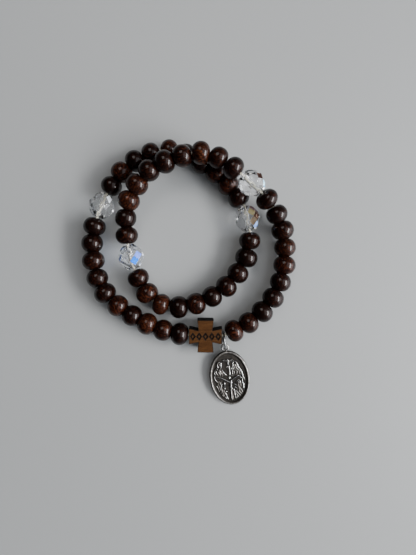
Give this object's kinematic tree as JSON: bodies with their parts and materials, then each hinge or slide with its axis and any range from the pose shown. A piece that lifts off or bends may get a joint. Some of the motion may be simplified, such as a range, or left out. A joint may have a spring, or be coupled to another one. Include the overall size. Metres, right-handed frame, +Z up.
{
  "type": "rosary bracelet",
  "caption": "Double-wrapped elastic prayer bracelet of turned wood beads and faceted glass beads, with a small flat wooden cross and an oval cast medal hanging from a jump ring.",
  "frame": {"origin": "middle of the whole outline, on the surface that the bracelet lies on", "axes": "+Z up from the surface, -Y from the bracelet towards the hanging medal, +X to the right with the medal's face up"},
  "size_m": [0.079, 0.0986, 0.0168],
  "materials": {
    "dark_wood": "turned, stained dark brown and varnished to a gloss",
    "clear_glass": "fire-polished facets with a thin iridescent coat on one side",
    "burnt_wood": "oiled face with scorched laser-cut edges",
    "ring_metal": "bright plated wire",
    "medal_metal": "oxidised silver tone, polished on the high places and dark in the field",
    "elastic": "clear stretch thread"
  },
  "bodies": {
    "root": {"wood_beads": "dark_wood", "glass_bead_1": "clear_glass", "glass_bead_2": "clear_glass", "glass_bead_3": "clear_glass", "glass_bead_4": "clear_glass", "cross_bead": "burnt_wood", "jump_ring": "ring_metal", "medal": "medal_metal", "thread": "elastic"}
  },
  "joints": []
}
